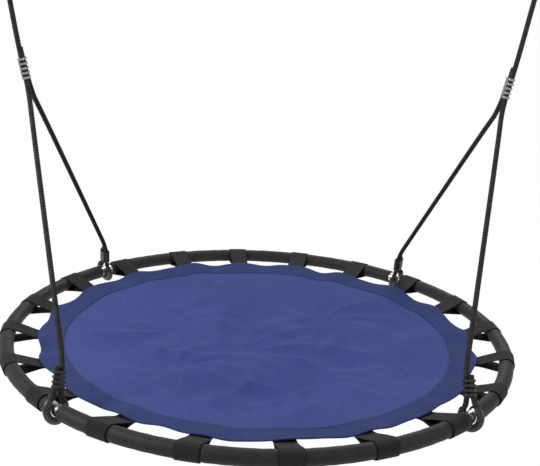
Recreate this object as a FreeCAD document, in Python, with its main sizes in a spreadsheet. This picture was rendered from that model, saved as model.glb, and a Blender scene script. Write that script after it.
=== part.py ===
"""Saucer nest swing, hung on two rope suspensions. Millimetres, +Z up, +X to the right, +Y to the back.

The origin is the middle of the line between the two swing pivots. Everything hangs below it.
"""
import FreeCAD, Part
import math
import os
import Sketcher

V = FreeCAD.Vector
UP = V(0, 0, 1)
DEPTH = V(0, 1, 0)

doc = FreeCAD.newDocument("SaucerNestSwing")

# Every size that can be set by itself: alias, value, what it is.
SIZES = [
    ("hang_drop", 870, "swing pivot line above the plane of the ring"),
    ("ring_radius", 486, "centreline of the ring tube"),
    ("tube_radius", 11, "steel ring tube, outside"),
    ("tube_wall", 1.5, "steel ring tube, wall"),
    ("spigot_length", 30, "reduced tube end inside the next tube"),
    ("spigot_clearance", 0.2, "between a spigot and the tube round it"),
    ("swage_length", 4, "step from full tube to spigot"),
    ("foam_radius", 14, "foam sleeve, outside"),
    ("foam_clearance", 0.3, "between foam and tube"),
    ("foam_gap_half", 15.5, "bare tube each side of a seam"),
    ("screw_offset", 11.5, "joint screw from the seam"),
    ("screw_shank_radius", 2, "joint screw shank"),
    ("screw_head_radius", 3, "joint screw head"),
    ("screw_head_height", 2, "joint screw head"),
    ("screw_hole_clearance", 0.1, "round the screw shank"),
    ("mat_gap", 42, "outer edge of the mat from the foam"),
    ("border_width", 50, "band sewn round the mat"),
    ("seam_clearance", 0.3, "between mat panel and border band"),
    ("mat_thickness", 2, "mat cloth and hem"),
    ("mat_sag", 30, "centre of the mat below its edge"),
    ("mat_edge_height", -2, "mat edge from the plane of the ring"),
    ("strap_width", 40, "webbing strap, along the ring"),
    ("strap_thickness", 1.5, "one layer of webbing"),
    ("strap_clearance", 0.3, "between webbing and foam or mat"),
    ("strap_tail", 37, "sewn tail of a strap below the border"),
    ("strap_count", 20, "straps round the ring"),
    ("strap_offset_deg", 5.5, "last strap before a tube seam, from the seam"),
    ("rope_radius", 5, "braided rope"),
    ("strand_gap", 0.6, "between the two rope strands in a clamp"),
    ("hose_radius", 6.5, "hose over a rope loop, outside"),
    ("hose_clearance", 0.2, "between hose and rope"),
    ("loop_clearance", 0.3, "between a rope loop and what it goes round"),
    ("loop_tilt_deg", 15, "lower loop, tilted along the tube towards its rope"),
    ("loop_play_deg", 5.5, "tilt that a lower loop gains as the seat tilts"),
    ("neck_ratio", 1.19, "height of a loop's neck over its radius"),
    ("split_x", 448, "rope fork clamp, centre, from the middle plane"),
    ("split_height", 506, "rope fork clamp, centre, above the ring plane"),
    ("fork_clamp_length", 38, "clamp at the rope fork"),
    ("top_clamp_length", 38, "clamp below the top eye"),
    ("lower_clamp_length", 28, "clamp above a lower loop"),
    ("clamp_band_height", 4, "one claw of a clamp"),
    ("clamp_band_pitch", 8, "claw to claw"),
    ("clamp_wall", 2, "claw and spine thickness"),
    ("clamp_spine_width", 9, "spine that joins the claws"),
    ("clamp_clearance", 0.2, "between clamp and rope"),
    ("clamp_rise", 11.5, "clamp from the neck of a loop"),
    ("tail_past_clamp", 8, "cut rope end past a clamp"),
    ("branch_tail", 20, "cut end of the branch rope past the fork clamp"),
    ("bend_room", 11, "rope bend beside a clamp, half its length"),
    ("eye_inner_radius", 12, "top rope eye, inside"),
    ("eye_slack_left", 0.3, "left eye over its bar"),
    ("eye_slack_right", 0.95, "right eye over its bar"),
    ("carabiner_bar_radius", 4.5, "carabiner bar"),
    ("carabiner_bend_radius", 17.5, "carabiner end, centreline"),
    ("carabiner_straight", 52, "carabiner side, centreline"),
    ("gate_opening", 34, "opening in the carabiner's side"),
    ("gate_gap", 0.5, "gate end to carabiner nose"),
    ("gate_heel_radius", 6, "rounded lower end of the gate"),
    ("gate_slot", 4.6, "slot in the gate"),
    ("tongue_thickness", 4, "carabiner tongue in the gate slot"),
    ("tongue_width", 7, "carabiner tongue"),
    ("tongue_reach", 4, "tongue past the gate pin"),
    ("gate_pin_radius", 1.5, "gate pin"),
    ("gate_pin_length", 8.4, "gate pin"),
    ("pin_clearance", 0.05, "round the gate pin"),
    ("bow_bar_radius", 5, "bow of the hanger"),
    ("bow_half_width", 20, "bow leg from the middle of the hanger"),
    ("bow_bend_radius", 12, "bow corner, centreline"),
    ("plate_height", 28, "underside of the hanger plate above the pivot"),
    ("plate_thickness", 5, "hanger plate"),
    ("plate_length", 104, "hanger plate, along X"),
    ("plate_width", 44, "hanger plate, along Y"),
    ("plate_corner", 8, "hanger plate corner radius"),
    ("bolt_spacing", 72, "hanger bolt holes"),
    ("bolt_hole_radius", 4.5, "hanger bolt holes"),
]

sheet = doc.addObject("Spreadsheet::Sheet", "Sizes")
# Sizes that follow from the ones above.
DERIVED = [
    ("mat_radius", "=ring_radius - foam_radius - mat_gap", "outer edge of the mat"),
    ("strand_offset", "=rope_radius + strand_gap / 2", "rope strand from the middle of a clamp"),
]
for row, (alias, value, note) in enumerate(SIZES + DERIVED, start=1):
    sheet.set(f"A{row}", note)
    sheet.set(f"B{row}", str(value))
    sheet.setAlias(f"B{row}", alias)
doc.recompute()


def size(alias):
    return float(sheet.get(alias))


nodes = []


def keep(item, label):
    """Give an object the name of its node and put it on the list of pieces to write."""
    item.Label = label
    nodes.append(item)
    return item


def bind(item, **formulas):
    for prop, formula in formulas.items():
        item.setExpression(prop, formula)


def feature(label, shape, placement=None):
    item = doc.addObject("Part::Feature", label)
    item.Shape = shape
    if placement is not None:
        item.Placement = placement
    return item


def frame_at(origin, x_axis, z_axis):
    """Placement with its own X and Z along two directions at right angles."""
    x_axis = V(x_axis).normalize()
    z_axis = V(z_axis).normalize()
    y_axis = z_axis.cross(x_axis)
    return FreeCAD.Placement(FreeCAD.Matrix(
        x_axis.x, y_axis.x, z_axis.x, origin.x,
        x_axis.y, y_axis.y, z_axis.y, origin.y,
        x_axis.z, y_axis.z, z_axis.z, origin.z,
        0, 0, 0, 1))


# ---------------------------------------------------------------- driving geometry
RING_Z = -size("hang_drop")
SEAMS = [45, 135, 225, 315]
SEAM_XY = size("ring_radius") * math.cos(math.radians(45))
LEAN = math.atan((size("split_x") - SEAM_XY) / size("split_height"))


# ---------------------------------------------------------------- steel ring
def ring_sector(name, radius, start, sweep):
    """Torus sector round the ring's centreline. Sizes are formulas in the sheet's names, in degrees."""
    item = doc.addObject("Part::Torus", name)
    bind(item, Radius1="Sizes.ring_radius", Radius2=radius, Angle3=sweep)
    item.Placement = FreeCAD.Placement(V(0, 0, RING_Z), FreeCAD.Rotation(UP, 0))
    item.setExpression("Placement.Rotation.Angle", start)
    return item


def boolean(kind, name, base, tool):
    item = doc.addObject(kind, name)
    item.Base = base
    item.Tool = tool
    return item


def radial_cylinder(name, radius, seam, offset_from_seam, inner_depth, length):
    """Cylinder pointing from the inner side of the ring tube towards its centreline."""
    angle = math.radians(seam + math.degrees(offset_from_seam / size("ring_radius")))
    outward = V(math.cos(angle), math.sin(angle), 0)
    start = outward * (size("ring_radius") - inner_depth) + V(0, 0, RING_Z)
    item = doc.addObject("Part::Cylinder", name)
    item.Radius = radius
    item.Height = length
    item.Placement = FreeCAD.Placement(start, FreeCAD.Rotation(UP, outward))
    return item


ARC = "* 180 / (pi * Sizes.ring_radius)"
SPIGOT_BORE = "(Sizes.tube_radius - 2 * Sizes.tube_wall - Sizes.spigot_clearance)"


def frame_tube(index, seam):
    """A quarter of the ring. Its far end is swaged down to a spigot that sits inside the next quarter."""
    name = f"tube{index}"
    swage = f"{seam} + 90 - Sizes.swage_length {ARC}"
    outer = ring_sector(f"{name}_outer", "Sizes.tube_radius", f"{seam}", "90")
    bore = ring_sector(f"{name}_bore", "Sizes.tube_radius - Sizes.tube_wall", f"{seam}",
                       f"90 - Sizes.swage_length {ARC}")
    shell = boolean("Part::Cut", f"{name}_shell", outer, bore)
    spigot_sweep = f"(Sizes.swage_length + Sizes.spigot_length) {ARC}"
    spigot = ring_sector(f"{name}_spigot", "Sizes.tube_radius - Sizes.tube_wall - Sizes.spigot_clearance",
                         swage, spigot_sweep)
    whole = boolean("Part::Fuse", f"{name}_whole", shell, spigot)
    spigot_bore = ring_sector(f"{name}_spigot_bore", SPIGOT_BORE, swage, spigot_sweep)
    hollow = boolean("Part::Cut", f"{name}_hollow", whole, spigot_bore)
    hole_radius = size("screw_shank_radius") + size("screw_hole_clearance")
    depth = size("tube_radius") + 1
    reach = depth - 3
    near = radial_cylinder(f"{name}_near_hole", hole_radius, seam, size("screw_offset"), depth, reach)
    far = radial_cylinder(f"{name}_far_hole", hole_radius, seam + 90, size("screw_offset"), depth, reach)
    holes = boolean("Part::Fuse", f"{name}_holes", near, far)
    return keep(boolean("Part::Cut", f"{name}_drilled", hollow, holes), f"frame_tube_{index}")


def foam_sleeve(index, seam):
    """Foam over a quarter of the ring, short of the seams, where the rope loops sit on bare tube."""
    start = f"{seam} + Sizes.foam_gap_half {ARC}"
    sweep = f"90 - 2 * Sizes.foam_gap_half {ARC}"
    outer = ring_sector(f"foam{index}_outer", "Sizes.foam_radius", start, sweep)
    inner = ring_sector(f"foam{index}_inner", "Sizes.tube_radius + Sizes.foam_clearance", start, sweep)
    return keep(boolean("Part::Cut", f"foam{index}", outer, inner), f"foam_sleeve_{index}")


def joint_screws():
    """One pan-head screw through each seam, from the inner side of the ring."""
    screws = []
    inner = size("tube_radius")
    shank_length = 2 * size("tube_wall") + size("spigot_clearance") + 1
    for index, seam in enumerate(SEAMS, start=1):
        head = radial_cylinder(f"screw{index}_head", size("screw_head_radius"), seam, size("screw_offset"),
                               inner + size("screw_head_height"), size("screw_head_height"))
        shank = radial_cylinder(f"screw{index}_shank", size("screw_shank_radius"), seam,
                                size("screw_offset"), inner, shank_length)
        screws.append(boolean("Part::Fuse", f"screw{index}", head, shank))
    group = doc.addObject("Part::Compound", "screws")
    group.Links = screws
    keep(group, "joint_screws")


# ---------------------------------------------------------------- mat
def dish_radius():
    """Radius of the shallow bowl that the mat sags into."""
    return (size("mat_radius") ** 2 + size("mat_sag") ** 2) / (2 * size("mat_sag"))


def mat_height(radius):
    """Height of the mat's upper face at a distance from the middle."""
    bottom = RING_Z + size("mat_edge_height") - size("mat_sag")
    bowl = dish_radius()
    return bottom + bowl - math.sqrt(bowl ** 2 - radius ** 2)


def mat_piece(name, outer, inner=None):
    """Slice of a thin bowl between two radii."""
    bowl = dish_radius()
    centre = V(0, 0, mat_height(0) + bowl)
    shells = []
    for part_name, radius in (("under", bowl + size("mat_thickness")), ("upper", bowl)):
        ball = doc.addObject("Part::Sphere", f"{name}_{part_name}")
        ball.Radius = radius
        ball.Placement = FreeCAD.Placement(centre, FreeCAD.Rotation())
        shells.append(ball)
    shell = boolean("Part::Cut", f"{name}_shell", shells[0], shells[1])
    depth = size("mat_sag") + 20
    punch = doc.addObject("Part::Cylinder", f"{name}_punch")
    bind(punch, Radius=outer)
    punch.Height = 2 * depth
    punch.Placement = FreeCAD.Placement(V(0, 0, RING_Z - depth), FreeCAD.Rotation())
    if inner is not None:
        core = doc.addObject("Part::Cylinder", f"{name}_core")
        bind(core, Radius=inner)
        core.Height = 2 * depth
        core.Placement = punch.Placement
        punch = boolean("Part::Cut", f"{name}_annulus", punch, core)
    return boolean("Part::Common", name, shell, punch)


def tangent_points(outside, centre, radius):
    """Upper and lower tangent points on a circle in the XZ plane, seen from a point outside it."""
    towards = outside - centre
    distance = towards.Length
    heading = math.atan2(towards.z, towards.x)
    spread = math.acos(radius / distance)
    points = []
    for turn in (heading - spread, heading + spread):
        points.append(centre + V(math.cos(turn), 0, math.sin(turn)) * radius)
    return sorted(points, key=lambda point: -point.z)


def teardrop(tip_top, tip_bottom, tail, centre, radius):
    """Wire round the tube that closes in a tip, or in a tail when tail points are given."""
    top = tangent_points(tip_top, centre, radius)[0]
    bottom = tangent_points(tip_bottom, centre, radius)[1]
    far = centre + V(radius, 0, 0)
    edges = [Part.LineSegment(tip_top, top), Part.Arc(top, far, bottom),
             Part.LineSegment(bottom, tip_bottom)]
    corners = [tip_bottom] + tail + [tip_top]
    for first, second in zip(corners, corners[1:]):
        if (second - first).Length > 0.001:
            edges.append(Part.LineSegment(first, second))
    return Part.Wire([edge.toShape() for edge in edges])


def strap_sweep():
    """Angle that one strap covers round the ring."""
    return math.degrees(size("strap_width") / size("ring_radius"))


def strap_shape():
    """Webbing wrapped round the foam, its two ends together below the mat's border."""
    layer = size("strap_thickness")
    centre = V(size("ring_radius"), 0, RING_Z)
    edge = size("mat_radius") + layer
    tail_end = edge - size("strap_tail")
    below = size("mat_thickness") + size("strap_clearance")
    tip_top = V(edge, 0, mat_height(edge) - below)
    end_top = V(tail_end, 0, mat_height(tail_end) - below)
    drop = V(0, 0, -2 * layer)
    outer_radius = size("foam_radius") + size("strap_clearance") + layer
    outer = teardrop(tip_top, tip_top + drop, [end_top + drop, end_top], centre, outer_radius)
    eye_tip = tip_top + drop * 0.5 + V(3 * layer, 0, 0)
    inner = teardrop(eye_tip, eye_tip, [], centre, outer_radius - layer)
    section = Part.Face([outer, inner])
    section.validate()
    return section.revolve(V(0, 0, 0), UP, strap_sweep())


# ---------------------------------------------------------------- ropes, hoses and clamps
def turn_at(before, point, after):
    first = (point - before).normalize()
    second = (after - point).normalize()
    return first.getAngle(second)


def rounded_path(route):
    """Straight runs joined by tangent arcs. A route point is (point, half length of its bend) or
    (point, None) for a bend of 0.45 of its shorter run."""
    points = [point for point, bend in route]
    edges = []
    radii = []
    last = points[0]
    for index in range(1, len(points) - 1):
        corner = points[index]
        back = points[index - 1] - corner
        ahead = points[index + 1] - corner
        turn = turn_at(points[index - 1], corner, points[index + 1])
        reach = route[index][1]
        if reach is None:
            reach = 0.45 * min(back.Length, ahead.Length)
        radius = reach / math.tan(turn / 2)
        back.normalize()
        ahead.normalize()
        start = corner + back * reach
        end = corner + ahead * reach
        middle = corner + (back + ahead).normalize() * (radius / math.cos(turn / 2) - radius)
        if (start - last).Length > 0.001:
            edges.append(Part.LineSegment(last, start).toShape())
        edges.append(Part.Arc(start, middle, end).toShape())
        radii.append(round(radius, 1))
        last = end
    edges.append(Part.LineSegment(last, points[-1]).toShape())
    return Part.Wire(edges), radii


def tube_along(route, radius, name):
    path, radii = rounded_path(route)
    start = route[0][0]
    heading = (route[1][0] - start).normalize()
    section = Part.Wire(Part.Circle(start, heading, radius).toShape())
    solid = path.makePipeShell([section], True, False)
    wanted = math.pi * radius ** 2 * path.Length
    print(name, "length", round(path.Length, 1), "radii", radii, "volume ratio", round(solid.Volume / wanted, 5))
    return solid


LOOP_CORNERS = 5


def loop_route(centre, side, up, radius):
    """Corners of a rope loop: neck on the plus side, round the circle, neck on the minus side."""
    strand = size("strand_offset")
    neck = size("neck_ratio") * radius
    reach = math.hypot(strand, neck)
    lean = math.asin(radius / reach) - math.atan2(strand, neck)
    step = (math.pi + 2 * lean) / LOOP_CORNERS
    corner_radius = radius / math.cos(step / 2)
    reach_round = radius * math.tan(step / 2)
    route = [(centre + side * strand + up * neck, None)]
    for index in range(LOOP_CORNERS):
        angle = lean - step * (index + 0.5)
        place = side * math.cos(angle) + up * math.sin(angle)
        route.append((centre + place * corner_radius, reach_round))
    route.append((centre - side * strand + up * neck, None))
    return route, lean


def hose(name, centre, side, up, radius, lean):
    """Hose over the round part of a rope loop."""
    sweep = 180 + 2 * math.degrees(lean)
    outer = Part.makeTorus(radius, size("hose_radius"), V(0, 0, 0), UP, -180, 180, sweep)
    inner = Part.makeTorus(radius, size("rope_radius") + size("hose_clearance"), V(0, 0, 0), UP,
                           -180, 180, sweep)
    place = frame_at(centre, -side * math.cos(lean) + up * math.sin(lean), side.cross(up))
    return keep(feature(name, outer.cut(inner), place), name)


def arc_sketch(body, name, half_long, half_short):
    """Obround about the sketch's centre: two half circles joined by straight sides."""
    sketch = body.newObject("Sketcher::SketchObject", name)
    plane = [item for item in body.Origin.OriginFeatures if item.Role == "XY_Plane"][0]
    sketch.AttachmentSupport = (plane, [""])
    sketch.MapMode = "FlatFace"
    for long_formula, short_formula in zip(half_long, half_short):
        long_value = doc.getObject("Sizes").evalExpression(long_formula)
        short_value = doc.getObject("Sizes").evalExpression(short_formula)
        flat = float(long_value) - float(short_value)
        short = float(short_value)
        right = sketch.addGeometry(Part.ArcOfCircle(
            Part.Circle(V(flat, 0, 0), UP, short), -math.pi / 2, math.pi / 2))
        left = sketch.addGeometry(Part.ArcOfCircle(
            Part.Circle(V(-flat, 0, 0), UP, short), math.pi / 2, 3 * math.pi / 2))
        top = sketch.addGeometry(Part.LineSegment(V(flat, short, 0), V(-flat, short, 0)))
        bottom = sketch.addGeometry(Part.LineSegment(V(-flat, -short, 0), V(flat, -short, 0)))
        for first, first_end, second, second_end in (
                (right, 2, top, 1), (top, 2, left, 1), (left, 2, bottom, 1), (bottom, 2, right, 1)):
            sketch.addConstraint(Sketcher.Constraint("Tangent", first, first_end, second, second_end))
        sketch.addConstraint(Sketcher.Constraint("PointOnObject", right, 3, -1))
        sketch.addConstraint(Sketcher.Constraint("Symmetric", right, 3, left, 3, -1, 1))
        radius = sketch.addConstraint(Sketcher.Constraint("Radius", right, short))
        spread = sketch.addConstraint(Sketcher.Constraint("DistanceX", left, 3, right, 3, 2 * flat))
        sketch.setExpression(f"Constraints[{radius}]", short_formula)
        sketch.setExpression(f"Constraints[{spread}]", f"2 * ({long_formula} - ({short_formula}))")
    return sketch


HALF_SHORT = "Sizes.rope_radius + Sizes.clamp_clearance"
HALF_LONG = "Sizes.strand_offset + Sizes.rope_radius + Sizes.clamp_clearance"


def claw_clamp(label, length_alias, place):
    """Crimped clamp: claws wrapped round two rope strands, joined by a spine on one side."""
    body = doc.addObject("PartDesign::Body", label)
    claws = arc_sketch(body, f"{label}_claw_sketch",
                       [HALF_LONG + " + Sizes.clamp_wall", HALF_LONG],
                       [HALF_SHORT + " + Sizes.clamp_wall", HALF_SHORT])
    claw = body.newObject("PartDesign::Pad", f"{label}_claw")
    claw.Profile = claws
    claw.setExpression("Length", "Sizes.clamp_band_height")
    pattern = body.newObject("PartDesign::LinearPattern", f"{label}_claws")
    pattern.Originals = [claw]
    z_axis = [item for item in body.Origin.OriginFeatures if item.Role == "Z_Axis"][0]
    pattern.Direction = (z_axis, [""])
    gaps = round((size(length_alias) - size("clamp_band_height")) / size("clamp_band_pitch"))
    pattern.setExpression("Length", f"Sizes.{length_alias} - Sizes.clamp_band_height")
    pattern.Occurrences = gaps + 1
    body.Tip = pattern
    spine_sketch = body.newObject("Sketcher::SketchObject", f"{label}_spine_sketch")
    spine_sketch.AttachmentSupport = claws.AttachmentSupport
    spine_sketch.MapMode = "FlatFace"
    half = size("clamp_spine_width") / 2
    low = size("rope_radius") + size("clamp_clearance")
    high = low + size("clamp_wall")
    corners = [V(-half, low, 0), V(half, low, 0), V(half, high, 0), V(-half, high, 0)]
    for first, second in zip(corners, corners[1:] + corners[:1]):
        spine_sketch.addGeometry(Part.LineSegment(first, second))
    for first, second in ((0, 1), (1, 2), (2, 3), (3, 0)):
        spine_sketch.addConstraint(Sketcher.Constraint("Coincident", first, 2, second, 1))
    for line, kind in ((2, "Horizontal"), (1, "Vertical"), (3, "Vertical")):
        spine_sketch.addConstraint(Sketcher.Constraint(kind, line))
    spine_sketch.addConstraint(Sketcher.Constraint("Symmetric", 0, 1, 0, 2, -2))
    width = spine_sketch.addConstraint(Sketcher.Constraint("DistanceX", 0, 1, 0, 2, 2 * half))
    seat = spine_sketch.addConstraint(Sketcher.Constraint("DistanceY", -1, 1, 0, 1, low))
    wall = spine_sketch.addConstraint(Sketcher.Constraint("DistanceY", 1, 1, 1, 2, high - low))
    spine_sketch.setExpression(f"Constraints[{width}]", "Sizes.clamp_spine_width")
    spine_sketch.setExpression(f"Constraints[{seat}]", HALF_SHORT)
    spine_sketch.setExpression(f"Constraints[{wall}]", "Sizes.clamp_wall")
    spine = body.newObject("PartDesign::Pad", f"{label}_spine")
    spine.Profile = spine_sketch
    spine.setExpression("Length", f"Sizes.{length_alias}")
    body.Tip = spine
    body.Placement = place
    return keep(body, label)


def suspension(hand, sign, slack):
    """Rope suspension of one side. The main rope carries the front, the branch rope the back."""
    axis = V(sign * math.sin(LEAN), 0, math.cos(LEAN))
    outward = V(sign * math.cos(LEAN), 0, -math.sin(LEAN))
    chord = V(sign * SEAM_XY, 0, RING_Z)
    strand = size("strand_offset")
    fork_middle = size("split_height") / math.cos(LEAN)
    fork_low = fork_middle - size("fork_clamp_length") / 2
    fork_high = fork_middle + size("fork_clamp_length") / 2
    bend_room = size("bend_room")
    loop_radius = (size("tube_radius") + size("hose_radius") + size("loop_clearance")) / math.cos(
        math.radians(size("loop_tilt_deg") + size("loop_play_deg")))

    def lower_leg(place, depth_sign):
        """Loop round the ring tube, its clamp, and the leg up to the fork."""
        seat = V(sign * SEAM_XY, depth_sign * SEAM_XY, RING_Z)
        along = V(sign, -depth_sign, 0).normalize()
        fork = chord + axis * (fork_low - bend_room - 1) + DEPTH * (depth_sign * strand)
        pull = fork - seat
        square = (pull - along * pull.dot(along)).normalize()
        tilt = math.radians(size("loop_tilt_deg"))
        up = square * math.cos(tilt) + along * math.sin(tilt)
        side = up.cross(along).normalize() * depth_sign * sign
        up = side.cross(up).cross(side).normalize()
        loop, lean = loop_route(seat, side, up, loop_radius)
        clamp_low = size("neck_ratio") * loop_radius + size("clamp_rise")
        clamp_high = clamp_low + size("lower_clamp_length")
        tail = seat + side * strand + up * (clamp_high + size("tail_past_clamp"))
        bend = seat - side * strand + up * (clamp_high + bend_room + 1)
        claw_clamp(f"lower_clamp_{place}_{hand}", "lower_clamp_length",
                   frame_at(seat + up * clamp_low, side, up))
        hose(f"lower_hose_{place}_{hand}", seat, side, up, loop_radius, lean)
        return [(tail, None)] + loop + [(bend, bend_room), (fork, bend_room)]

    front = lower_leg("front", -1)
    back = lower_leg("back", 1)

    pivot_up = (size("bow_bar_radius") + size("carabiner_bar_radius") + size("loop_clearance")) / math.cos(LEAN)
    hang = size("hang_drop") / math.cos(LEAN)
    bar = hang + pivot_up - size("carabiner_straight") - 2 * size("carabiner_bend_radius")
    eye_radius = size("eye_inner_radius") + size("hose_radius")
    eye_centre = bar - (size("eye_inner_radius") - size("carabiner_bar_radius") - slack)
    clamp_high = eye_centre - size("neck_ratio") * eye_radius - size("clamp_rise")
    clamp_low = clamp_high - size("top_clamp_length")
    eye = chord + axis * eye_centre
    top_loop, lean = loop_route(eye, -outward, -axis, eye_radius)

    above_fork = chord + axis * (fork_high + bend_room + 1) - DEPTH * strand
    below_eye = chord - outward * strand + axis * (clamp_low - bend_room - 1)
    top_tail = chord + outward * strand + axis * (clamp_low - size("tail_past_clamp"))
    main = front + [(above_fork, bend_room), (below_eye, bend_room)] + top_loop + [(top_tail, None)]
    branch = back + [(chord + DEPTH * strand + axis * (fork_high + size("branch_tail")), None)]

    for name, route in ((f"main_rope_{hand}", main), (f"branch_rope_{hand}", branch)):
        keep(feature(name, tube_along(route, size("rope_radius"), name)), name)
        print(name, "route", [tuple(round(value, 1) for value in point) for point, bend in route])
    claw_clamp(f"fork_clamp_{hand}", "fork_clamp_length", frame_at(chord + axis * fork_low, DEPTH, axis))
    claw_clamp(f"top_clamp_{hand}", "top_clamp_length", frame_at(chord + axis * clamp_low, outward, axis))
    hose(f"top_hose_{hand}", eye, -outward, -axis, eye_radius, lean)
    return chord + axis * bar, axis, outward


# ---------------------------------------------------------------- carabiners
def carabiner(hand, bar_point, axis, outward):
    """Spring-gate carabiner in the plane of the depth direction and the suspension's axis."""
    bend = size("carabiner_bend_radius")
    radius = size("carabiner_bar_radius")
    half = size("carabiner_straight") / 2
    half_gate = size("gate_opening") / 2
    middle = bar_point + axis * (half + bend)
    place = frame_at(middle, outward, axis)
    gate_side = 1 if place.Rotation.multVec(DEPTH).y > 0 else -1

    def at(depth, height):
        return V(0, depth * gate_side, height)

    route = [(at(bend, -half_gate), None), (at(bend, -half - bend), bend), (at(-bend, -half - bend), bend),
             (at(-bend, half + bend), bend), (at(bend, half + bend), bend), (at(bend, half_gate), None)]
    shape = tube_along(route, radius, f"carabiner_{hand}")
    heel = size("gate_heel_radius") + size("loop_clearance")
    pin_height = -half_gate + heel
    thick = size("tongue_thickness")
    width = size("tongue_width")
    tongue_low = -half_gate - 2
    tongue = Part.makeBox(thick, width, pin_height + size("tongue_reach") - tongue_low,
                          V(-thick / 2, gate_side * bend - width / 2, tongue_low))
    pin_at = at(bend, pin_height)
    across = V(1, 0, 0)
    hole_radius = size("gate_pin_radius") + size("pin_clearance")
    hole = Part.makeCylinder(hole_radius, 4 * radius, pin_at - across * 2 * radius, across)
    keep(feature(f"carabiner_{hand}", shape.fuse(tongue).cut(hole).removeSplitter(), place),
         f"carabiner_{hand}")

    top = half_gate - size("gate_gap")
    heel_radius = size("gate_heel_radius")
    rod = Part.makeCylinder(radius, top - pin_height + heel_radius, pin_at - UP * heel_radius, UP)
    heel_round = Part.makeCylinder(heel_radius, 4 * radius, pin_at - across * 2 * radius, across)
    upper = Part.makeBox(4 * radius, 4 * radius, top - pin_height,
                         pin_at - V(2 * radius, 2 * radius, 0))
    slot_width = size("gate_slot")
    slot = Part.makeBox(slot_width, 4 * radius, 2 * heel_radius + 1,
                        pin_at - V(slot_width / 2, 2 * radius, heel_radius + 1))
    gate = rod.common(heel_round.fuse(upper)).cut(slot).cut(hole).removeSplitter()
    keep(feature(f"gate_{hand}", gate, place), f"gate_{hand}")

    pin = doc.addObject("Part::Cylinder", f"gate_pin_{hand}")
    bind(pin, Radius="Sizes.gate_pin_radius", Height="Sizes.gate_pin_length")
    start = pin_at - across * (size("gate_pin_length") / 2)
    pin.Placement = place.multiply(FreeCAD.Placement(start, FreeCAD.Rotation(UP, across)))
    keep(pin, f"gate_pin_{hand}")
    pin_world = place.multVec(pin_at)
    print(f"gate_{hand} pivot", [round(value, 3) for value in pin_world], "axis", outward, "side", gate_side)


# ---------------------------------------------------------------- hangers
def hanger(hand, sign):
    """Ceiling plate with a welded bow that the carabiner hangs on."""
    pivot_x = sign * (SEAM_XY + size("hang_drop") * math.tan(LEAN))
    body = doc.addObject("PartDesign::Body", f"plate_{hand}")
    plane = [item for item in body.Origin.OriginFeatures if item.Role == "XY_Plane"][0]
    outline = body.newObject("Sketcher::SketchObject", f"plate_{hand}_outline")
    outline.AttachmentSupport = (plane, [""])
    outline.MapMode = "FlatFace"
    half_x = size("plate_length") / 2
    half_y = size("plate_width") / 2
    corners = [V(-half_x, -half_y, 0), V(half_x, -half_y, 0), V(half_x, half_y, 0), V(-half_x, half_y, 0)]
    for first, second in zip(corners, corners[1:] + corners[:1]):
        outline.addGeometry(Part.LineSegment(first, second))
    for first, second in ((0, 1), (1, 2), (2, 3), (3, 0)):
        outline.addConstraint(Sketcher.Constraint("Coincident", first, 2, second, 1))
    for line, kind in ((0, "Horizontal"), (2, "Horizontal"), (1, "Vertical"), (3, "Vertical")):
        outline.addConstraint(Sketcher.Constraint(kind, line))
    outline.addConstraint(Sketcher.Constraint("Symmetric", 0, 1, 1, 2, -1, 1))
    length = outline.addConstraint(Sketcher.Constraint("DistanceX", 0, 1, 0, 2, 2 * half_x))
    width = outline.addConstraint(Sketcher.Constraint("DistanceY", 1, 1, 1, 2, 2 * half_y))
    outline.setExpression(f"Constraints[{length}]", "Sizes.plate_length")
    outline.setExpression(f"Constraints[{width}]", "Sizes.plate_width")
    slab = body.newObject("PartDesign::Pad", f"plate_{hand}_slab")
    slab.Profile = outline
    slab.setExpression("Length", "Sizes.plate_thickness")
    drill = body.newObject("Sketcher::SketchObject", f"plate_{hand}_drill")
    drill.AttachmentSupport = (plane, [""])
    drill.MapMode = "FlatFace"
    half_bolt = size("bolt_spacing") / 2
    for end in (1, -1):
        hole = drill.addGeometry(Part.Circle(V(end * half_bolt, 0, 0), UP, size("bolt_hole_radius")))
        radius = drill.addConstraint(Sketcher.Constraint("Radius", hole, size("bolt_hole_radius")))
        drill.setExpression(f"Constraints[{radius}]", "Sizes.bolt_hole_radius")
    drill.addConstraint(Sketcher.Constraint("PointOnObject", 0, 3, -1))
    drill.addConstraint(Sketcher.Constraint("Symmetric", 0, 3, 1, 3, -1, 1))
    spread = drill.addConstraint(Sketcher.Constraint("DistanceX", 1, 3, 0, 3, 2 * half_bolt))
    drill.setExpression(f"Constraints[{spread}]", "Sizes.bolt_spacing")
    holes = body.newObject("PartDesign::Pocket", f"plate_{hand}_holes")
    holes.Profile = drill
    holes.Type = "ThroughAll"
    holes.Midplane = True
    doc.recompute()
    rounding = body.newObject("PartDesign::Fillet", f"plate_{hand}_corners")
    upright = []
    for number, edge in enumerate(holes.Shape.Edges, start=1):
        ends = [vertex.Point for vertex in edge.Vertexes]
        if len(ends) == 2 and abs(ends[0].z - ends[1].z) > 1 and abs(ends[0].x) > half_x - 1:
            upright.append(f"Edge{number}")
    rounding.Base = (holes, upright)
    rounding.setExpression("Radius", "Sizes.plate_corner")
    body.Tip = rounding
    body.Placement = FreeCAD.Placement(V(pivot_x, 0, size("plate_height")), FreeCAD.Rotation())
    half_bow = size("bow_half_width")
    weld = size("plate_height") + size("plate_thickness") / 2
    bend = size("bow_bend_radius")
    route = [(V(pivot_x - half_bow, 0, weld), None), (V(pivot_x - half_bow, 0, 0), bend),
             (V(pivot_x + half_bow, 0, 0), bend), (V(pivot_x + half_bow, 0, weld), None)]
    bow = feature(f"bow_{hand}", tube_along(route, size("bow_bar_radius"), f"bow_{hand}"))
    keep(boolean("Part::Fuse", f"hanger_whole_{hand}", body, bow), f"hanger_{hand}")
    print(f"hanger_{hand} pivot x", round(pivot_x, 3))


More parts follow.
